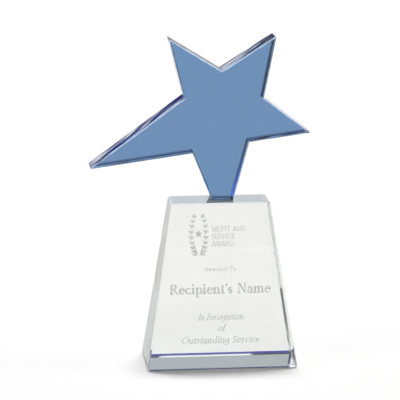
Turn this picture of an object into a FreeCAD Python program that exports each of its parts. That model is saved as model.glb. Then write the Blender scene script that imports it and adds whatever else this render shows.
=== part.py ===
import FreeCAD, Part
import os
import Sketcher

# A crystal award: a shooting-star plate of solid blue crystal, bonded by its cut-off lower
# arm to the top of a clear, tapered crystal block. The block stands on its flat underside.
#
# The frame: millimetres, +Z up, the award faces -Y, and its left arm points to -X. The origin
# is the middle of the block's underside.

BASE_SIZES = {
    "base_bottom_width": 116,
    "base_bottom_depth": 58,
    "base_top_width": 76,
    "base_top_depth": 32,
    "base_height": 128,
    "base_arris": 1,  # polished bevel along the top and the four slanted corners
    "base_foot_arris": 1.5,  # wider bevel round the underside, where a block chips first
}

STAR_SIZES = {
    "star_thickness": 23,
    "star_front_gap": 9,  # from the top face's front edge back to the star's front face
    "star_foot_x": 2.2,  # middle of the star's foot, to the right of the block's middle
    "star_foot_width": 16,
    "star_arris": 1,  # polished bevel round the front and back faces
    "star_tip_radius": 0.6,  # small round that takes the sharpness off each point
}

BOND_SIZES = {
    "bond_thickness": 0.15,
    "bond_margin": 0.2,  # the adhesive stops this far inside the foot's flat
}

# The star's corners, clockwise from the left-hand point, as across and up from the middle of
# its foot. The five points are unequal: the left one is drawn out like a comet's tail.
STAR_CORNERS = {
    "left_tip": (-103, 26),
    "upper_left_notch": (-29.5, 79.5),
    "upper_left_tip": (-41, 125),
    "top_notch": (-0.5, 100),
    "upper_right_tip": (41, 126.5),
    "upper_right_notch": (31.5, 79),
    "right_tip": (68, 51.5),
    "lower_right_notch": (20.5, 45),
    "foot_right": ("star_foot_width / 2", 0),
    "foot_left": ("-star_foot_width / 2", 0),
    "lower_left_notch": (-23, 37),
}

TOLERANCE = 1e-4
DRAFT_HALF_SIDE = 10  # a rectangle's half side while it is drawn, before the sheet sizes it


def fill_sheet(doc):
    """The driving dimensions, one named cell each."""
    sheet = doc.addObject("Spreadsheet::Sheet", "Sizes")
    cells = {**BASE_SIZES, **STAR_SIZES, **BOND_SIZES}
    for corner, (across, up) in STAR_CORNERS.items():
        for name, value in ((corner + "_across", across), (corner + "_up", up)):
            cells[name] = value
    for row, (name, value) in enumerate(cells.items(), start=1):
        sheet.set(f"A{row}", name)
        sheet.setAlias(f"B{row}", name)
        sheet.set(f"B{row}", f"={value}" if isinstance(value, str) else str(value))
    doc.recompute()
    return sheet


def new_body(doc, name):
    body = doc.addObject("PartDesign::Body", name)
    body.Label = name
    return body


def origin_plane(body, role):
    return next(f for f in body.Origin.OriginFeatures if f.Role == role)


def sketch_on(body, role, name):
    sketch = body.newObject("Sketcher::SketchObject", name)
    sketch.AttachmentSupport = [(origin_plane(body, role), "")]
    sketch.MapMode = "FlatFace"
    return sketch


def closed_outline(sketch, points):
    """Straight lines through the points, joined end to end into one closed outline."""
    corners = [FreeCAD.Vector(x, y, 0) for x, y in points]
    for start, end in zip(corners, corners[1:] + corners[:1]):
        sketch.addGeometry(Part.LineSegment(start, end), False)
    count = len(corners)
    for line in range(count):
        sketch.addConstraint(Sketcher.Constraint("Coincident", line, 2, (line + 1) % count, 1))


def place_corner(sketch, line, name, axis, value, expression):
    """Holds the start of a line at a distance from the sketch's origin, bound to a cell."""
    index = sketch.addConstraint(Sketcher.Constraint("Distance" + axis, line, 1, value))
    sketch.renameConstraint(index, name)
    sketch.setExpression(f"Constraints.{name}", expression)


def centred_rectangle(sketch, width, depth):
    """A rectangle centred on the sketch's origin. width and depth are expressions."""
    signs = ((-1, -1), (1, -1), (1, 1), (-1, 1))
    corners = [(across * DRAFT_HALF_SIDE, up * DRAFT_HALF_SIDE) for across, up in signs]
    closed_outline(sketch, corners)
    for line, ((across, up), (x, y)) in enumerate(zip(signs, corners)):
        place_corner(sketch, line, f"across_{line}", "X", x, f"{across} * ({width}) / 2")
        place_corner(sketch, line, f"up_{line}", "Y", y, f"{up} * ({depth}) / 2")


def edges_where(shape, wanted):
    """The names of the shape's edges for which wanted(edge's two ends) holds."""
    return [
        f"Edge{number}"
        for number, edge in enumerate(shape.Edges, start=1)
        if wanted([vertex.Point for vertex in edge.Vertexes])
    ]


def bevel(body, name, base, edges, size_cell):
    chamfer = body.newObject("PartDesign::Chamfer", name)
    chamfer.Base = (base, edges)
    chamfer.setExpression("Size", f"Sizes.{size_cell}")
    body.Document.recompute()
    return chamfer


def make_base_block(doc, sheet):
    """The clear block: a slab that tapers up to a narrower top, with polished bevels."""
    body = new_body(doc, "base_block")
    taper = body.newObject("PartDesign::AdditiveWedge", "BaseTaper")
    taper.AttachmentSupport = [(origin_plane(body, "XZ_Plane"), "")]
    taper.MapMode = "FlatFace"
    # The wedge tapers along its own Y axis, which stands upright on the XZ plane.
    taper.Ymin = 0
    taper.setExpression("Ymax", "Sizes.base_height")
    for side, size in (("X", "base_bottom_width"), ("Z", "base_bottom_depth")):
        taper.setExpression(f"{side}min", f"-Sizes.{size} / 2")
        taper.setExpression(f"{side}max", f"Sizes.{size} / 2")
    for side, size in (("X2", "base_top_width"), ("Z2", "base_top_depth")):
        taper.setExpression(f"{side}min", f"-Sizes.{size} / 2")
        taper.setExpression(f"{side}max", f"Sizes.{size} / 2")
    doc.recompute()

    def above_the_underside(ends):
        return max(end.z for end in ends) > TOLERANCE

    def on_the_underside(ends):
        return max(end.z for end in ends) < TOLERANCE

    arris = bevel(
        body, "BaseArris", taper, edges_where(taper.Shape, above_the_underside), "base_arris"
    )
    bevel(
        body, "BaseFootArris", arris, edges_where(arris.Shape, on_the_underside), "base_foot_arris"
    )
    return body


def middle_of_foot(sheet, height):
    """Where the middle of the star's foot stands on the block, at a height."""
    back_from_front_edge = sheet.star_front_gap + sheet.star_thickness / 2
    return FreeCAD.Vector(
        sheet.star_foot_x, back_from_front_edge - sheet.base_top_depth / 2, height
    )


def make_bond_film(doc, sheet):
    """The clear adhesive film between the star's foot and the block's top."""
    body = new_body(doc, "bond_film")
    patch = sketch_on(body, "XY_Plane", "BondPatch")
    inset = "2 * (Sizes.star_arris + Sizes.bond_margin)"
    centred_rectangle(
        patch, f"Sizes.star_foot_width - {inset}", f"Sizes.star_thickness - {inset}"
    )
    film = body.newObject("PartDesign::Pad", "BondFilm")
    film.Profile = patch
    film.setExpression("Length", "Sizes.bond_thickness")
    doc.recompute()
    body.Placement.Base = middle_of_foot(sheet, sheet.base_height)
    return body


def make_star_plate(doc, sheet):
    """The blue star: a thick plate with square walls and a polished bevel round each face."""
    body = new_body(doc, "star_plate")
    outline = sketch_on(body, "XZ_Plane", "StarOutline")
    names = list(STAR_CORNERS)
    corners = [(sheet.get(n + "_across"), sheet.get(n + "_up")) for n in names]
    closed_outline(outline, corners)
    for line, (name, (across, up)) in enumerate(zip(names, corners)):
        place_corner(outline, line, name + "_x", "X", across, f"Sizes.{name}_across")
        place_corner(outline, line, name + "_z", "Y", up, f"Sizes.{name}_up")
    plate = body.newObject("PartDesign::Pad", "StarPlate")
    plate.Profile = outline
    plate.SideType = "Symmetric"
    plate.setExpression("Length", "Sizes.star_thickness")
    doc.recompute()

    tips = [corner for name, corner in zip(names, corners) if "notch" not in name]

    def along_a_face(ends):
        first, second = ends
        return abs(first.y - second.y) < TOLERANCE

    def across_a_tip(ends):
        first, second = ends
        square = abs(first.x - second.x) + abs(first.z - second.z) < TOLERANCE
        return square and any(abs(first.x - x) + abs(first.z - z) < TOLERANCE for x, z in tips)

    arris = bevel(body, "StarArris", plate, edges_where(plate.Shape, along_a_face), "star_arris")
    rounded = body.newObject("PartDesign::Fillet", "StarTips")
    rounded.Base = (arris, edges_where(arris.Shape, across_a_tip))
    rounded.setExpression("Radius", "Sizes.star_tip_radius")
    body.Placement.Base = middle_of_foot(sheet, sheet.base_height + sheet.bond_thickness)
    return body


def check(doc, pieces):
    """Stops with a message if any object failed or any piece isn't one valid solid."""
    for item in doc.Objects:
        if {"Invalid", "Error"} & set(item.State):
            raise RuntimeError(f"{item.Name} failed: {item.State}")
    for piece in pieces:
        shape = piece.Shape
        if shape.isNull() or not shape.isValid() or len(shape.Solids) != 1:
            raise RuntimeError(f"{piece.Label} is not one valid solid")


def main():
    doc = FreeCAD.newDocument("CrystalAward")
    sheet = fill_sheet(doc)
    makers = (make_base_block, make_bond_film, make_star_plate)
    pieces = [make(doc, sheet) for make in makers]
    doc.recompute()
    check(doc, pieces)
    os.makedirs("parts", exist_ok=True)
    for piece in pieces:
        piece.Shape.exportStep(f"parts/{piece.Label}.step")
        box = piece.Shape.BoundBox
        print(
            f"{piece.Label}: {piece.Shape.Volume / 1000:.1f} cm3,"
            f" x {box.XMin:.2f} to {box.XMax:.2f}, y {box.YMin:.2f} to {box.YMax:.2f},"
            f" z {box.ZMin:.2f} to {box.ZMax:.2f}"
        )


main()
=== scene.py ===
import math
from collections import namedtuple

import bmesh
import bpy
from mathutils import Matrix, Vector
from mathutils.geometry import delaunay_2d_cdt


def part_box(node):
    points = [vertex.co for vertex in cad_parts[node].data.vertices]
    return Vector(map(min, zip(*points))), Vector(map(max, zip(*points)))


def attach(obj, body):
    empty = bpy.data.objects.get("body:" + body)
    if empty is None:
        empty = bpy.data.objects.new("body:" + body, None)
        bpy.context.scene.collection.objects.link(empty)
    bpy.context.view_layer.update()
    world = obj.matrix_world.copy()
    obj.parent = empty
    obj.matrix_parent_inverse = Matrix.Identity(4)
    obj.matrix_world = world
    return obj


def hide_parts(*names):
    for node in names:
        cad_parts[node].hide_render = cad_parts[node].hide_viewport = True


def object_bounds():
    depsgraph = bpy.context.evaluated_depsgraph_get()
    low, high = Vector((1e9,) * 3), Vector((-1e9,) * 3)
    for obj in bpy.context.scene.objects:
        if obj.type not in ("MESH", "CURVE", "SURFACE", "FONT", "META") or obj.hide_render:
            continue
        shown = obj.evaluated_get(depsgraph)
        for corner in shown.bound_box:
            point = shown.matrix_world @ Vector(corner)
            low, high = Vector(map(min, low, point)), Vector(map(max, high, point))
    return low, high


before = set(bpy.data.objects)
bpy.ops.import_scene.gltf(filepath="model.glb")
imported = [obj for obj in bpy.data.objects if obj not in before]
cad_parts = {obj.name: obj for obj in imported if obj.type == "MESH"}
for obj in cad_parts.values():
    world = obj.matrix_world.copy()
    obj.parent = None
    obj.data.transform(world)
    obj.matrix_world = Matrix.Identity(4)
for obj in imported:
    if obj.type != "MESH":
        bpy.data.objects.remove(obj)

# A blue crystal star on a clear crystal block, in a white studio. The CAD's star and block are
# shown as they are, with glass materials. The script redraws the adhesive film between them and
# adds the frosted inscription on the block's front. Metres, +Z up, the award faces -Y.

CAD_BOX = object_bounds()
CAD_MIDDLE = (CAD_BOX[0] + CAD_BOX[1]) / 2
BODY = "root"
MM = 0.001

CRYSTAL_IOR = 1.52
DENSITY_HEADROOM = 1.3  # over the strongest loss, so that the absorption's colour stays above 0

# Each glass: absorption per metre for red, green and blue light; its two tints and the size of
# the clouds between them; and on its side walls, painted reflection streaks (lighter and darker
# bands in its colour that stand in for the mirrored studio) and polishing waves. Metres.
Glass = namedtuple("Glass", "absorption tints cloud_size streaks wave_size wave_height wave_slant")
BLUE_GLASS = Glass(
    absorption=(88.0, 58.0, 33.0),
    tints=((0.95, 0.96, 0.97), (0.99, 0.99, 0.99)),
    cloud_size=0.004,
    # painted reflection: pale bluish and white bands on the star's side walls
    streaks=[(0.3, (0.85, 0.9, 1.0)), (0.7, (1.0, 1.0, 1.0))],
    wave_size=(0.05, 0.016),
    wave_height=0.30 * MM,
    wave_slant=math.radians(22),
)
CLEAR_GLASS = Glass(
    absorption=(1.8, 1.5, 1.9),
    tints=((0.92, 0.92, 0.925), (0.96, 0.96, 0.965)),
    cloud_size=0.03,
    # painted reflection and shade: grey and near-white bands on the block's side walls
    streaks=[
        (0.38, (0.86, 0.88, 0.88)), (0.43, (0.97, 0.98, 0.99)), (0.48, (0.97, 0.98, 0.99)),
        (0.51, (0.88, 0.9, 0.9)), (0.54, (0.98, 0.98, 0.98)), (0.60, (0.87, 0.89, 0.89)),
    ],
    wave_size=(0.16, 0.013),
    wave_height=0.02 * MM,
    wave_slant=0.0,
)
ADHESIVE = Glass(
    absorption=(1.8, 1.5, 1.9),
    tints=((0.9, 0.9, 0.88), (0.98, 0.98, 0.97)),
    cloud_size=0.003,
    # painted reflection: lighter and darker bands on the film's edge
    streaks=[(0.3, (0.9, 0.9, 0.88)), (0.7, (0.98, 0.98, 0.97))],
    wave_size=(0.006, 0.002),
    wave_height=0.004 * MM,
    wave_slant=0.0,
)
# How squarely a surface faces front or back, from 0 to 1: a side wall up to the first number,
# a big face from the second.
WALL_LIMIT, FACE_LIMIT = 0.35, 0.97

# Directions from the award: azimuth 0 is behind it and 90 is to its right. Degrees and metres.
CAMERA_AZIMUTH = 185.9
CAMERA_ELEVATION = 11.4
CAMERA_DISTANCE = 1.720
CAMERA_LENS = 201.3
AIM_FROM_CENTRE = Vector((0.0003, 0.0, 0.0005))

# The studio's brightness by the sine of the height above the horizon, half its true value. The
# two thin pale bands low down behind the award make the streaks on the star's side walls.
VIOLET = (0.036, 0.038, 0.21)
NAVY = (0.04, 0.045, 0.1)
BEHIND_BY_HEIGHT = [
    (0.0, 0.25), (0.05, 0.25), (0.07, VIOLET), (0.113, VIOLET), (0.116, (0.9, 0.95, 1.0)),
    (0.121, (0.9, 0.95, 1.0)), (0.124, VIOLET), (0.150, VIOLET), (0.152, (0.8, 0.85, 1.0)),
    (0.156, (0.8, 0.85, 1.0)), (0.158, NAVY), (0.178, NAVY), (0.186, (0.65, 0.7, 0.76)),
    (0.206, (0.6, 0.64, 0.7)), (0.215, (0.23, 0.25, 0.27)), (0.34, (0.22, 0.24, 0.26)),
    (0.42, (0.28, 0.32, 0.38)), (0.6, (0.16, 0.18, 0.2)), (1.0, 0.1),
]
FRONT_BY_HEIGHT = [
    (0.0, 0.04), (0.16, 0.04), (0.19, 0.22), (0.36, 0.2), (0.42, 0.05), (0.6, 0.055), (1.0, 0.1),
]
FRONT_SKY_END, BEHIND_SKY_START = -0.5, 0.4  # along the direction's Y, with a blend between
SKY_STRENGTH = 2.0

SOFTBOX_DISTANCE = 9.0
SHADOW_SOFTBOX = "overhead_softbox"
Softbox = namedtuple("Softbox", "name azimuth elevation width height radiance")
SOFTBOXES = (
    Softbox(SHADOW_SOFTBOX, 14, 77, 4.6, 1.6, 62),
    Softbox("right_softbox", 94, 45.5, 1.1, 2.5, 8),
    Softbox("left_softbox", -108, 53.5, 1.25, 2.2, 7.5),
    Softbox("front_softbox", 172, 60, 4.7, 1.6, 1.2),
)
INDIRECT_CLAMP = 2.0  # takes the fireflies out of the light that comes through the crystal

FLOOR_SIZE = 10
FLOOR_GAP = 0.2 * MM  # under the block, so that the two faces don't coincide
FLOOR_PAINT = (0.495, 0.487, 0.482, 1)
BACKDROP_RADIUS = 4.6

ADHESIVE_CLEARANCE = 0.15  # of the film's thickness, above and below it
ADHESIVE_STEPS = 96
ADHESIVE_SQUARENESS = 8  # 2 would make the film an ellipse
ADHESIVE_RIPPLE = 0.012  # of its half width

ETCH_LIFT = 0.02 * MM
ETCH_THICKNESS = 0.06 * MM
FROST_GRAINS_PER_METRE = 2600
FROST_DEPTH = 0.03 * MM
FROST_TONES = [(0.3, 0.72), (0.7, 0.86)]
WHOLE_HULL = 0  # delaunay_2d_cdt's output type that keeps the triangles outside the outlines too
MERGE_DISTANCE = 1e-4  # mm; corners nearer together than this become one


def set_inputs(node, values):
    """Sets a node's own sockets by name."""
    for socket, value in values.items():
        node.inputs[socket].default_value = value


def new_material(name):
    material = bpy.data.materials.new(name)
    material.use_nodes = True
    nodes = material.node_tree.nodes
    return material, nodes, material.node_tree.links, nodes["Principled BSDF"]


def add_absorption(nodes, links, per_metre):
    """Plain volume absorption: each colour channel's loss is density times (1 - colour)."""
    density = DENSITY_HEADROOM * max(per_metre)
    volume = nodes.new("ShaderNodeVolumeAbsorption")
    colour = (*[1 - loss / density for loss in per_metre], 1)
    set_inputs(volume, {"Density": density, "Color": colour})
    links.new(volume.outputs["Volume"], nodes["Material Output"].inputs["Volume"])


def add_relief(nodes, links, shader, height, strength, depth):
    """Bumps up to a depth in metres, from a height between 0 and 1."""
    bump = nodes.new("ShaderNodeBump")
    set_inputs(bump, {"Strength": strength, "Distance": depth})
    links.new(height, bump.inputs["Height"])
    links.new(bump.outputs["Normal"], shader.inputs["Normal"])


def on_object(nodes):
    """The place on the object, in metres."""
    return nodes.new("ShaderNodeTexCoord").outputs["Object"]


def noise(nodes, links, where, scale, detail):
    texture = nodes.new("ShaderNodeTexNoise")
    set_inputs(texture, {"Scale": scale, "Detail": detail})
    links.new(where, texture.inputs["Vector"])
    return texture.outputs["Fac"]


def ramp(nodes, links, value, stops):
    """A colour ramp. Each stop is a position with a grey level or a colour."""
    node = nodes.new("ShaderNodeValToRGB")
    links.new(value, node.inputs["Fac"])
    elements = node.color_ramp.elements
    while len(elements) < len(stops):
        elements.new(0.5)  # the loop below moves it to its stop
    for element, (position, level) in zip(elements, stops):
        element.position = position
        element.color = (*level, 1) if isinstance(level, tuple) else (level, level, level, 1)
    return node.outputs["Color"]


def polishing_waves(nodes, links, size, lean):
    """Long shallow waves left by hand polishing: length and breadth in metres, lean in radians."""
    length, breadth = size
    place = nodes.new("ShaderNodeMapping")
    place.vector_type = "TEXTURE"
    set_inputs(place, {"Rotation": (0, 0, lean), "Scale": (length, breadth, length)})
    links.new(on_object(nodes), place.inputs["Vector"])
    return noise(nodes, links, place.outputs["Vector"], scale=1.0, detail=1)


def side_walls(nodes, links):
    """1 on the walls and edges that run from front to back, 0 on the big front and back faces."""
    facing = nodes.new("ShaderNodeSeparateXYZ")
    links.new(nodes.new("ShaderNodeNewGeometry").outputs["True Normal"], facing.inputs["Vector"])
    turned = nodes.new("ShaderNodeMath")
    turned.operation = "ABSOLUTE"
    links.new(facing.outputs["Y"], turned.inputs[0])
    walls = nodes.new("ShaderNodeMapRange")
    set_inputs(walls, {"From Min": WALL_LIMIT, "From Max": FACE_LIMIT, "To Min": 1, "To Max": 0})
    links.new(turned.outputs["Value"], walls.inputs["Value"])
    return walls.outputs["Result"]


def mix_colours(nodes, links, factor, first, second):
    """The first colour where the factor is 0, and the second where it is 1."""
    mix = nodes.new("ShaderNodeMix")
    mix.data_type = "RGBA"
    sockets = {socket.identifier: socket for socket in mix.inputs}
    links.new(factor, sockets["Factor_Float"])
    links.new(first, sockets["A_Color"])
    links.new(second, sockets["B_Color"])
    return next(socket for socket in mix.outputs if socket.identifier == "Result_Color")


def crystal(name, glass):
    """Solid glass, faintly cloudy between two tints, with painted reflections and waves on its
    side walls.
    """
    material, nodes, links, shader = new_material(name)
    darker, paler = glass.tints
    clouds = noise(nodes, links, on_object(nodes), scale=1 / glass.cloud_size, detail=4)
    clear = ramp(nodes, links, clouds, [(0.35, darker), (0.65, paler)])
    waves = polishing_waves(nodes, links, glass.wave_size, glass.wave_slant)
    walls = side_walls(nodes, links)
    # lighter and darker streaks painted into the side walls' colour, standing in for the mirrored
    # studio
    painted_reflections = ramp(nodes, links, waves, glass.streaks)
    links.new(mix_colours(nodes, links, walls, clear, painted_reflections), shader.inputs["Base Color"])
    set_inputs(shader, {"Transmission Weight": 1.0, "IOR": CRYSTAL_IOR, "Roughness": 0.0})
    height = nodes.new("ShaderNodeMath")
    height.operation = "MULTIPLY"
    links.new(waves, height.inputs[0])
    links.new(walls, height.inputs[1])
    height = height.outputs["Value"]
    add_relief(nodes, links, shader, height, strength=1.0, depth=glass.wave_height)
    add_absorption(nodes, links, glass.absorption)
    return material


def dress(node, material):
    """Gives a CAD node its material, in every slot that it has."""
    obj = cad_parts[node]
    if not obj.material_slots:
        obj.data.materials.append(material)
    for slot in obj.material_slots:
        slot.link = "OBJECT"
        slot.material = material


def front_face():
    """The block's slanted front: its middle at the underside, the way up it, and the way out."""
    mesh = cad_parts["base_block"].data
    front = min(mesh.polygons, key=lambda polygon: polygon.normal.y)
    out = front.normal.normalized()
    up = out.cross(Vector((1, 0, 0)))
    corner = mesh.vertices[front.vertices[0]].co
    low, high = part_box("base_block")
    foot_middle = corner - up * (corner.z - low.z) / up.z
    foot_middle.x = (low.x + high.x) / 2
    return foot_middle, up, out


FACE_FOOT, FACE_UP, FACE_OUT = front_face()


def on_face(across, up, lift):
    """A point on the front face, from mm across from its middle and mm up it."""
    return FACE_FOOT + Vector((across * MM, 0, 0)) + FACE_UP * up * MM + FACE_OUT * lift


# ---- Frosted inscription: a plain serif alphabet of strokes, cap height 1 ----

X_HEIGHT = 0.66
ASCENDER = 1.04
DESCENDER = -0.3
TERMINAL = 0.055  # radius of the drops that end curved strokes
WIDEST_STRETCH = 1.12
NARROWEST_STRETCH = 0.92
Pen = namedtuple("Pen", "stem hair")
REGULAR = Pen(0.125, 0.075)
BOLD = Pen(0.165, 0.085)
ITALIC = 0.22  # how far across a letter leans for each unit up
CURVE_STRESS = 1.3  # the higher, the sooner a curve thins as it turns level
SPINE_STRESS = 0.7  # the lower, the further an S stays thick from its middle
DROP_CORNERS = 12
SERIF_REACH = 0.1
BRACKET_HEIGHT = 0.13  # how far up the stem a serif's curve runs
SPACE = 0.34


def stroke(path, widths):
    """The outline of a line drawn along a path, with a width at each point."""
    points = [Vector(point) for point in path]
    left, right = [], []
    for index, (point, width) in enumerate(zip(points, widths)):
        before, after = points[max(index - 1, 0)], points[min(index + 1, len(points) - 1)]
        along = (after - before).normalized()
        across = Vector((-along.y, along.x)) * width / 2
        left.append(point + across)
        right.append(point - across)
    return left + right[::-1]


def line(x0, y0, x1, y1, width):
    return stroke([(x0, y0), (x1, y1)], [width, width])


def bar(pen, x0, x1, y):
    return line(x0, y, x1, y, pen.hair)


def tick(pen, x, y0, y1):
    return line(x, y0, x, y1, pen.hair)


def on_ellipse(cx, cy, rx, ry, degrees):
    angle = math.radians(degrees)
    return Vector((cx + rx * math.cos(angle), cy + ry * math.sin(angle)))


def slant(x0, y0, x1, y1, width):
    """A diagonal with level ends; the width is measured across the page."""
    half = width / 2
    corners = ((x0 - half, y0), (x0 + half, y0), (x1 + half, y1), (x1 - half, y1))
    return [Vector(corner) for corner in corners]


def arc(pen, cx, cy, rx, ry, start, end, steps=18):
    """Part of an ellipse, thick where it runs upright and thin where it runs level."""
    turns = [start + (end - start) * step / steps for step in range(steps + 1)]
    upright = [abs(math.cos(math.radians(turn))) ** CURVE_STRESS for turn in turns]
    widths = [pen.hair + (pen.stem - pen.hair) * share for share in upright]
    return stroke([on_ellipse(cx, cy, rx, ry, turn) for turn in turns], widths)


def drop(x, y, radius=TERMINAL):
    turns = [360 * step / DROP_CORNERS for step in range(DROP_CORNERS)]
    return [on_ellipse(x, y, radius, radius, turn) for turn in turns]


def foot(pen, x, y, reach=SERIF_REACH, up=1):
    """A bracketed serif at an end of a stem; up is -1 for a serif at the head."""
    half, thin = pen.stem / 2, pen.hair * 0.8
    profile = (
        (half + reach, 0), (half + reach, thin),
        (half + 0.03, thin + 0.02), (half, BRACKET_HEIGHT),
    )
    right = [Vector((x + across, y + up * height)) for across, height in profile]
    left = [Vector((x - across, y + up * height)) for across, height in reversed(profile)]
    return right + left


def stem(pen, x, low, high):
    return line(x, low, x, high, pen.stem)


def flag(pen, x, y):
    """The slanted serif at the head of a small letter's stem."""
    half = pen.stem / 2
    corners = (
        (x - half - SERIF_REACH, y - 0.09), (x + half, y),
        (x + half, y - 0.16), (x - half, y - 0.16),
    )
    return [Vector(corner) for corner in corners]


def ess(pen, width, height):
    """The double curve of an S, thickest along its spine."""
    rx = width / 2 - pen.stem * 0.4
    ry = height / 4 - pen.hair / 4
    path, widths = [], []
    turns = [(0.75, angle) for angle in range(25, 271, 15)]
    turns += [(0.25, angle) for angle in range(75, -156, -15)]
    for count, (level, angle) in enumerate(turns):
        middle = height * (0.5 + (level - 0.5) * (1 - pen.hair / height))
        path.append(on_ellipse(width / 2, middle, rx, ry, angle))
        spine = 1 - abs(count / (len(turns) - 1) - 0.5) * 2
        widths.append(pen.hair + (pen.stem - pen.hair) * spine ** SPINE_STRESS)
    ends = [
        tick(pen, end.x, end.y - 0.13 * height, end.y + 0.1 * height)
        for end in (path[0], path[-1])
    ]
    return [stroke(path, widths), *ends]


def capital(pen, char):
    """(outlines, advance) of one capital letter."""
    s, h = pen
    thin_pen = Pen(h, h)
    if char == "A":
        return [slant(0.1, 0, 0.38, 1, h * 1.2), slant(0.66, 0, 0.36, 1, s * 1.1),
                bar(pen, 0.2, 0.56, 0.33), foot(thin_pen, 0.1, 0), foot(pen, 0.66, 0)], 0.78
    if char == "C":
        return [arc(pen, 0.4, 0.5, 0.34, 0.48, 42, 318, 30),
                tick(pen, 0.68, 0.7, 0.97), tick(pen, 0.68, 0.08, 0.26)], 0.76
    if char == "D":
        return [stem(pen, 0.16, 0, 1), bar(pen, 0.05, 0.36, 0.98), bar(pen, 0.05, 0.36, 0.02),
                arc(pen, 0.34, 0.5, 0.38, 0.48, -90, 90, 24)], 0.82
    if char == "E":
        return [stem(pen, 0.16, 0, 1), bar(pen, 0.05, 0.56, 0.975), bar(pen, 0.05, 0.6, 0.025),
                bar(pen, 0.16, 0.46, 0.52), tick(pen, 0.56, 0.8, 1), tick(pen, 0.6, 0, 0.22),
                tick(pen, 0.46, 0.42, 0.62)], 0.66
    if char == "I":
        return [stem(pen, 0.17, 0, 1), foot(pen, 0.17, 0), foot(pen, 0.17, 1, up=-1)], 0.34
    if char == "M":
        return [tick(pen, 0.14, 0, 1), slant(0.48, 0, 0.17, 1, s), slant(0.48, 0, 0.8, 1, h * 1.2),
                stem(pen, 0.82, 0, 1), foot(thin_pen, 0.14, 0), foot(pen, 0.82, 0),
                bar(pen, 0.04, 0.2, 0.975), bar(pen, 0.78, 0.96, 0.975)], 0.98
    if char == "N":
        return [tick(pen, 0.14, 0, 1), slant(0.68, 0, 0.17, 1, s), tick(pen, 0.68, 0, 1),
                foot(thin_pen, 0.14, 0), foot(thin_pen, 0.68, 1, up=-1),
                bar(pen, 0.02, 0.2, 0.975)], 0.82
    if char == "O":
        return [arc(pen, 0.43, 0.5, 0.37, 0.48, 0, 180, 24),
                arc(pen, 0.43, 0.5, 0.37, 0.48, 180, 360, 24)], 0.86
    if char == "R":
        return [stem(pen, 0.16, 0, 1), foot(pen, 0.16, 0), bar(pen, 0.05, 0.34, 0.975),
                bar(pen, 0.16, 0.34, 0.5), arc(pen, 0.32, 0.738, 0.21, 0.238, -90, 90),
                slant(0.68, 0.02, 0.36, 0.5, s), bar(pen, 0.62, 0.78, 0.02)], 0.76
    if char == "S":
        return ess(pen, 0.5, 1), 0.56
    if char == "T":
        return [stem(pen, 0.34, 0, 1), foot(pen, 0.34, 0), bar(pen, 0.04, 0.64, 0.975),
                tick(pen, 0.06, 0.78, 0.98), tick(pen, 0.62, 0.78, 0.98)], 0.68
    if char == "V":
        return [slant(0.38, 0, 0.1, 1, s), slant(0.38, 0, 0.66, 1, h * 1.2),
                bar(pen, 0, 0.24, 0.98), bar(pen, 0.56, 0.76, 0.98)], 0.76
    if char == "W":
        return [slant(0.34, 0, 0.1, 1, s), slant(0.34, 0, 0.55, 1, h * 1.2),
                slant(0.76, 0, 0.53, 1, s), slant(0.76, 0, 1.0, 1, h * 1.2),
                bar(pen, 0, 0.24, 0.98), bar(pen, 0.9, 1.1, 0.98)], 1.08
    raise ValueError(f"the alphabet has no {char!r}")


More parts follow.
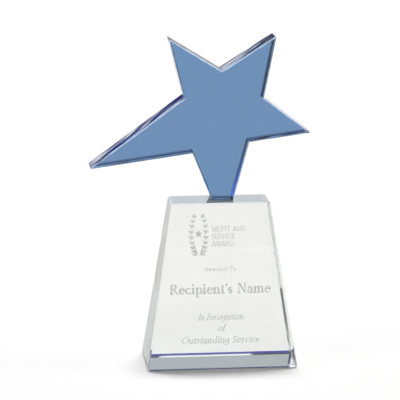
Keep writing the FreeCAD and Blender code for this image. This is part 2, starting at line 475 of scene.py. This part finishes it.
def small_letter(pen, char):
    """(outlines, advance) of one small letter."""
    s, h = pen
    bowl_ry = X_HEIGHT / 2 - h / 2
    middle = X_HEIGHT / 2
    if char == "a":
        return [stem(pen, 0.4, 0.06, 0.46), arc(pen, 0.25, 0.46, 0.15, 0.18, 0, 150),
                arc(pen, 0.26, 0.2, 0.17, 0.18, 90, 300), line(0.24, 0.38, 0.4, 0.42, h),
                line(0.33, 0.07, 0.4, 0.14, h), line(0.36, 0.05, 0.53, 0.05, h * 1.4),
                drop(0.13, 0.51)], 0.54
    if char == "c":
        return [arc(pen, 0.28, middle, 0.22, bowl_ry, 50, 320, 24), drop(0.42, 0.55)], 0.5
    if char == "d":
        return [arc(pen, 0.28, middle, 0.2, bowl_ry, 60, 300, 24), stem(pen, 0.46, 0.02, ASCENDER),
                flag(pen, 0.46, ASCENDER), bar(pen, 0.4, 0.6, 0.025)], 0.62
    if char == "e":
        return [arc(pen, 0.28, middle, 0.21, bowl_ry, 5, 320, 28), bar(pen, 0.1, 0.5, 0.37)], 0.54
    if char == "f":
        return [stem(pen, 0.18, 0, 0.86), foot(pen, 0.18, 0), bar(pen, 0.04, 0.36, 0.63),
                arc(pen, 0.33, 0.86, 0.15, 0.16, 180, 50), drop(0.42, 0.98)], 0.38
    if char == "g":
        return [arc(pen, 0.27, middle + 0.02, 0.2, bowl_ry - 0.02, 40, 320, 24),
                stem(pen, 0.45, -0.1, X_HEIGHT), arc(pen, 0.28, -0.1, 0.17, 0.18, 0, -150),
                bar(pen, 0.4, 0.57, 0.635)], 0.58
    if char == "i":
        return [stem(pen, 0.16, 0, X_HEIGHT), flag(pen, 0.16, X_HEIGHT), foot(pen, 0.16, 0),
                drop(0.16, 0.9, s * 0.6)], 0.33
    if char == "m":
        arches = [arc(pen, x, 0.44, 0.165, 0.2, 160, 0) for x in (0.3, 0.63)]
        tops = ((0.14, X_HEIGHT), (0.465, 0.44), (0.795, 0.44))
        stems = [stem(pen, x, 0, top) for x, top in tops]
        feet = [foot(pen, x, 0, 0.07) for x, _ in tops]
        return [*arches, *stems, *feet, flag(pen, 0.14, X_HEIGHT)], 0.95
    if char == "n":
        return [arc(pen, 0.31, 0.44, 0.17, 0.2, 160, 0), stem(pen, 0.14, 0, X_HEIGHT),
                stem(pen, 0.48, 0, 0.44), foot(pen, 0.14, 0, 0.08), foot(pen, 0.48, 0, 0.08),
                flag(pen, 0.14, X_HEIGHT)], 0.63
    if char == "o":
        return [arc(pen, 0.29, middle, 0.23, bowl_ry, 0, 180),
                arc(pen, 0.29, middle, 0.23, bowl_ry, 180, 360)], 0.58
    if char == "p":
        return [arc(pen, 0.33, middle, 0.2, bowl_ry, 120, -120, 24),
                stem(pen, 0.15, DESCENDER, X_HEIGHT), foot(pen, 0.15, DESCENDER, 0.08),
                flag(pen, 0.15, X_HEIGHT)], 0.61
    if char == "r":
        return [stem(pen, 0.15, 0, X_HEIGHT), foot(pen, 0.15, 0, 0.08), flag(pen, 0.15, X_HEIGHT),
                arc(pen, 0.33, 0.42, 0.18, 0.2, 165, 75), drop(0.38, 0.59)], 0.44
    if char == "s":
        return ess(pen, 0.36, X_HEIGHT), 0.42
    if char == "t":
        return [stem(pen, 0.17, 0.15, 0.86), bar(pen, 0.03, 0.36, 0.63),
                arc(pen, 0.3, 0.15, 0.13, 0.12, 180, 300)], 0.38
    if char == "u":
        return [stem(pen, 0.14, 0.2, X_HEIGHT), stem(pen, 0.48, 0.02, X_HEIGHT),
                flag(pen, 0.14, X_HEIGHT), flag(pen, 0.48, X_HEIGHT),
                arc(pen, 0.31, 0.22, 0.17, 0.2, 180, 340), bar(pen, 0.46, 0.62, 0.025)], 0.63
    if char == "v":
        return [slant(0.27, 0, 0.1, X_HEIGHT, s), slant(0.27, 0, 0.45, X_HEIGHT, h * 1.2),
                bar(pen, 0.01, 0.2, 0.635), bar(pen, 0.37, 0.53, 0.635)], 0.53
    if char == "w":
        return [slant(0.26, 0, 0.1, X_HEIGHT, s), slant(0.26, 0, 0.42, X_HEIGHT, h * 1.2),
                slant(0.57, 0, 0.41, X_HEIGHT, s), slant(0.57, 0, 0.74, X_HEIGHT, h * 1.2),
                bar(pen, 0.01, 0.2, 0.635), bar(pen, 0.66, 0.82, 0.635)], 0.82
    raise ValueError(f"the alphabet has no {char!r}")


def glyph(pen, char):
    """(outlines, advance) of one character."""
    if char == " ":
        return [], SPACE
    if char == "'":
        return [slant(0.1, 0.72, 0.13, 1.0, pen.hair * 1.6)], 0.22
    return capital(pen, char) if char.isupper() else small_letter(pen, char)


def set_line(text, left, right, baseline, cap_height, pen=REGULAR, lean=0.0):
    """Outlines of one line of text on the face, stretched between two margins, in mm."""
    letters = [glyph(pen, char) for char in text]
    natural = sum(advance for _, advance in letters) * cap_height
    stretch = max(min((right - left) / natural, WIDEST_STRETCH), NARROWEST_STRETCH) * cap_height
    gap = (right - left - natural / cap_height * stretch) / len(text)
    outlines, at = [], left + gap / 2
    for shapes, advance in letters:
        for shape in shapes:
            outlines.append([
                Vector((at + (p.x + p.y * lean) * stretch, baseline + p.y * cap_height))
                for p in shape
            ])
        at += advance * stretch + gap
    return outlines


# ---- The emblem: a plain laurel wreath, in mm and in degrees round from its foot ----

BRANCH_START, BRANCH_END, BRANCH_STEP = 4, 140, 8
BRANCH_WIDTH = 0.45
BRANCH_TAPER = 0.21
LEAF_PAIRS = 9
FIRST_LEAVES, LAST_LEAVES = 14, 138
LEAF_LENGTH = 4.0
LEAF_SHORTENING = 0.14  # from each pair to the next
LEAF_SLENDERNESS = 0.42
LEAF_LEAN = 0.62  # radians away from the branch
TIP_LEAF = (3.2, 1.3)
STAR_TIP_RADIUS, STAR_NOTCH_RADIUS = 3.4, 1.4


def leaf(stalk, angle, length, width):
    """A pointed leaf from its stalk end, pointing along an angle in radians."""
    along = Vector((math.cos(angle), math.sin(angle)))
    across = Vector((-along.y, along.x))
    rise = ((0, 0), (0.2, 0.3), (0.45, 0.5), (0.7, 0.38), (1, 0))
    upper = [along * length * t + across * width * r for t, r in rise]
    lower = [along * length * t - across * width * r for t, r in rise[-2:0:-1]]
    return [stalk + p for p in upper + lower]


def branch(cx, cy, half_width, half_height, side):
    """A laurel branch that climbs one side of a wreath: -1 is the left side and 1 the right."""

    def spot(turn):
        """The point on the branch so many degrees round from the wreath's foot."""
        return on_ellipse(cx, cy, half_width, half_height, -90 + side * turn)

    def heading(start, end):
        return math.atan2(end.y - start.y, end.x - start.x)

    path = [spot(turn) for turn in range(BRANCH_START, BRANCH_END + 1, BRANCH_STEP)]
    widths = [BRANCH_WIDTH - BRANCH_TAPER * i / len(path) for i in range(len(path))]
    outlines = [stroke(path, widths)]
    for pair in range(LEAF_PAIRS):
        turn = FIRST_LEAVES + (LAST_LEAVES - FIRST_LEAVES) * pair / (LEAF_PAIRS - 1)
        here = spot(turn)
        along = heading(here, spot(turn + 2))
        length = LEAF_LENGTH - LEAF_SHORTENING * pair
        for lean in (-LEAF_LEAN, LEAF_LEAN):
            outlines.append(leaf(here, along + lean, length, length * LEAF_SLENDERNESS))
    tip = spot(BRANCH_END)
    outlines.append(leaf(tip, heading(spot(BRANCH_END - 2), tip), *TIP_LEAF))
    return outlines


def wreath(cx, cy, half_width, half_height):
    """Two laurel branches round a small star."""
    radii = (STAR_TIP_RADIUS, STAR_NOTCH_RADIUS) * 5
    star = [on_ellipse(cx, cy, radius, radius, 90 + 36 * i) for i, radius in enumerate(radii)]
    branches = [branch(cx, cy, half_width, half_height, side) for side in (-1, 1)]
    return [*branches[0], *branches[1], star]


def new_object(name, data):
    obj = bpy.data.objects.new(name, data)
    bpy.context.collection.objects.link(obj)
    return obj


def add_piece(name, mesh, material):
    """Turns a bmesh into a piece that rides on the award's body."""
    data = bpy.data.meshes.new(name)
    mesh.to_mesh(data)
    mesh.free()
    data.materials.append(material)
    piece = new_object(name, data)
    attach(piece, BODY)
    return piece


def thicken(mesh, offset):
    """Extrudes a flat bmesh's faces by a vector, so that they close round a thin solid."""
    raised = bmesh.ops.extrude_face_region(mesh, geom=mesh.faces[:])["geom"]
    corners = [item for item in raised if isinstance(item, bmesh.types.BMVert)]
    bmesh.ops.translate(mesh, verts=corners, vec=offset)
    bmesh.ops.recalc_face_normals(mesh, faces=mesh.faces)


def etch(name, outlines, material):
    """Joins overlapping outlines into one thin closed piece that lies on the front face."""
    corners = [p for outline in outlines for p in outline]
    loops, start = [], 0
    for outline in outlines:
        loop = list(range(start, start + len(outline)))
        area = sum(a.x * b.y - b.x * a.y for a, b in zip(outline, outline[1:] + outline[:1]))
        loops.append(loop if area > 0 else loop[::-1])
        start += len(outline)
    flat, _, faces, _, _, origins = delaunay_2d_cdt(corners, [], loops, WHOLE_HULL, MERGE_DISTANCE)
    mesh = bmesh.new()
    points = [mesh.verts.new(on_face(p.x, p.y, ETCH_LIFT)) for p in flat]
    for face, origin in zip(faces, origins):
        if origin:  # the triangle lies inside at least one outline
            mesh.faces.new([points[i] for i in face])
    bmesh.ops.delete(mesh, geom=[v for v in mesh.verts if not v.link_faces], context="VERTS")
    thicken(mesh, FACE_OUT * ETCH_THICKNESS)
    add_piece(name, mesh, material)


def frost():
    """Sandblasted crystal: a rough white skin that lets some of the light through."""
    material, nodes, links, shader = new_material("etched_frost")
    grain = noise(nodes, links, on_object(nodes), scale=FROST_GRAINS_PER_METRE, detail=3)
    links.new(ramp(nodes, links, grain, FROST_TONES), shader.inputs["Base Color"])
    add_relief(nodes, links, shader, grain, strength=0.3, depth=FROST_DEPTH)
    set_inputs(shader, {"Roughness": 0.85, "Specular IOR Level": 0.2, "Alpha": 0.5})
    return material


def make_inscription():
    """The etched emblem and lines, in mm across from the face's middle and up from its foot.

    The emblem has a centre, a half width and a half height. Each line has its left and right
    margins, its baseline and the height of its capitals.
    """
    material = frost()
    etch("etched_emblem", wreath(-17.6, 105.3, 5.6, 16.5), material)
    etch("etched_award_title", [
        *set_line("MERIT AND", -7.6, 18.6, 107.0, 3.9),
        *set_line("SERVICE", -7.6, 10.2, 101.3, 3.9),
        *set_line("AWARD", -7.6, 9.4, 95.6, 3.9),
    ], material)
    etch("etched_presentation", set_line("Awarded To", -13.7, 10.9, 76.5, 3.3), material)
    etch("etched_name", set_line("Recipient's Name", -40.3, 37.6, 59.0, 7.8, BOLD), material)
    etch("etched_citation", [
        *set_line("In Recognition", -18.7, 16.0, 38.8, 5.1, lean=ITALIC),
        *set_line("of", -4.2, 2.0, 30.1, 5.1, lean=ITALIC),
        *set_line("Outstanding Service", -32.0, 28.6, 20.8, 5.3, lean=ITALIC),
    ], material)


def make_adhesive(material):
    """The adhesive film, drawn back a little at its edges and clear of the faces it joins.

    Where glass lies exactly on glass the light can't tell which it is in, and renders black.
    """
    low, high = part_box("bond_film")
    gap = (high.z - low.z) * ADHESIVE_CLEARANCE
    middle, half = (low + high) / 2, (high - low) / 2
    rim = []
    for step in range(ADHESIVE_STEPS):
        angle = math.tau * step / ADHESIVE_STEPS
        across, along = math.cos(angle), math.sin(angle)
        power = ADHESIVE_SQUARENESS
        square = (abs(across) ** power + abs(along) ** power) ** (-1 / power)
        ripple = 1 - ADHESIVE_RIPPLE * (1 + math.sin(5 * angle) * math.cos(3 * angle + 1))
        rim.append((middle.x + half.x * across * square * ripple,
                    middle.y + half.y * along * square * ripple))
    mesh = bmesh.new()
    mesh.faces.new([mesh.verts.new((x, y, low.z + gap)) for x, y in rim])
    thicken(mesh, (0, 0, high.z - low.z - 2 * gap))
    piece = add_piece("adhesive_film", mesh, material)
    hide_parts("bond_film")


# ---- The studio ----


def make_floor():
    place = (0, 0, CAD_BOX[0].z - FLOOR_GAP)
    bpy.ops.mesh.primitive_plane_add(size=FLOOR_SIZE, location=place)
    floor = bpy.context.object
    floor.name = "studio_floor"
    material, _, _, shader = new_material("studio_floor_paint")
    set_inputs(shader, {"Base Color": FLOOR_PAINT, "Roughness": 0.9, "Specular IOR Level": 0.0})
    floor.data.materials.append(material)


def make_backdrop():
    """A white cyclorama that only the camera sees, so that it lights nothing."""
    bpy.ops.mesh.primitive_uv_sphere_add(segments=96, ring_count=48, radius=BACKDROP_RADIUS)
    backdrop = bpy.context.object
    backdrop.name = "studio_backdrop"
    material, _, _, shader = new_material("studio_backdrop_paint")
    set_inputs(shader, {
        "Base Color": (0, 0, 0, 1), "Roughness": 1.0, "Specular IOR Level": 0.0,
        "Emission Color": (1, 1, 1, 1), "Emission Strength": 1.0,
    })
    backdrop.data.materials.append(material)
    for kind in ("diffuse", "glossy", "transmission", "volume_scatter", "shadow"):
        setattr(backdrop, f"visible_{kind}", False)


def make_world():
    """The sky that the crystal and the floor see, but not the camera: the backdrop hides it."""
    world = bpy.data.worlds.new("studio_world")
    bpy.context.scene.world = world
    world.use_nodes = True
    nodes, links = world.node_tree.nodes, world.node_tree.links
    split = nodes.new("ShaderNodeSeparateXYZ")
    links.new(nodes.new("ShaderNodeTexCoord").outputs["Generated"], split.inputs["Vector"])
    behind = ramp(nodes, links, split.outputs["Z"], BEHIND_BY_HEIGHT)
    front = ramp(nodes, links, split.outputs["Z"], FRONT_BY_HEIGHT)
    depth = nodes.new("ShaderNodeMapRange")
    depth.interpolation_type = "SMOOTHSTEP"
    set_inputs(depth, {"From Min": FRONT_SKY_END, "From Max": BEHIND_SKY_START})
    links.new(split.outputs["Y"], depth.inputs["Value"])
    sky = mix_colours(nodes, links, depth.outputs["Result"], front, behind)
    links.new(sky, nodes["Background"].inputs["Color"])
    nodes["Background"].inputs["Strength"].default_value = SKY_STRENGTH


def toward(azimuth, elevation):
    """A direction from the award, from its azimuth and elevation in degrees."""
    a, e = math.radians(azimuth), math.radians(elevation)
    return Vector((math.sin(a) * math.cos(e), math.cos(a) * math.cos(e), math.sin(e)))


def look_back(obj, target, direction, distance):
    """Places a light or camera in a direction from a point, looking back at that point."""
    obj.location = target + direction * distance
    obj.rotation_mode = "QUATERNION"
    obj.rotation_quaternion = direction.to_track_quat("Z", "Y")


def make_lights():
    """Soft panels that the polished bevels mirror.

    The highest one throws the shadow, and only the block blocks it, so that the shadow lies round
    the block's foot, with none from the star.
    """
    for box in SOFTBOXES:
        light = bpy.data.lights.new(box.name, "AREA")
        light.shape = "RECTANGLE"
        light.size, light.size_y = box.width, box.height
        light.energy = box.radiance * math.pi * box.width * box.height
        lamp = new_object(box.name, light)
        look_back(lamp, CAD_MIDDLE, toward(box.azimuth, box.elevation), SOFTBOX_DISTANCE)
        if box.name == SHADOW_SOFTBOX:
            blockers = bpy.data.collections.new("casts_the_contact_shadow")
            blockers.objects.link(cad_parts["base_block"])
            lamp.light_linking.blocker_collection = blockers


def make_camera():
    data = bpy.data.cameras.new("camera")
    data.lens = CAMERA_LENS
    data.sensor_width = 36
    data.clip_start, data.clip_end = 0.05, 100
    camera = new_object("camera", data)
    direction = toward(CAMERA_AZIMUTH, CAMERA_ELEVATION)
    look_back(camera, CAD_MIDDLE + AIM_FROM_CENTRE, direction, CAMERA_DISTANCE)
    bpy.context.scene.camera = camera


def set_up_render():
    """Enough bounces for light that crosses the crystal many times, and plain colours."""
    scene = bpy.context.scene
    scene.view_settings.view_transform = "Standard"
    cycles = scene.cycles
    cycles.max_bounces = 32
    cycles.transmission_bounces = 32
    cycles.glossy_bounces = 16
    cycles.diffuse_bounces = 4
    cycles.sample_clamp_indirect = INDIRECT_CLAMP
    cycles.caustics_reflective = True
    cycles.caustics_refractive = True


dress("star_plate", crystal("blue_crystal", BLUE_GLASS))
dress("base_block", crystal("clear_crystal", CLEAR_GLASS))
make_adhesive(crystal("clear_adhesive", ADHESIVE))
make_inscription()
make_floor()
make_backdrop()
make_world()
make_lights()
make_camera()
set_up_render()
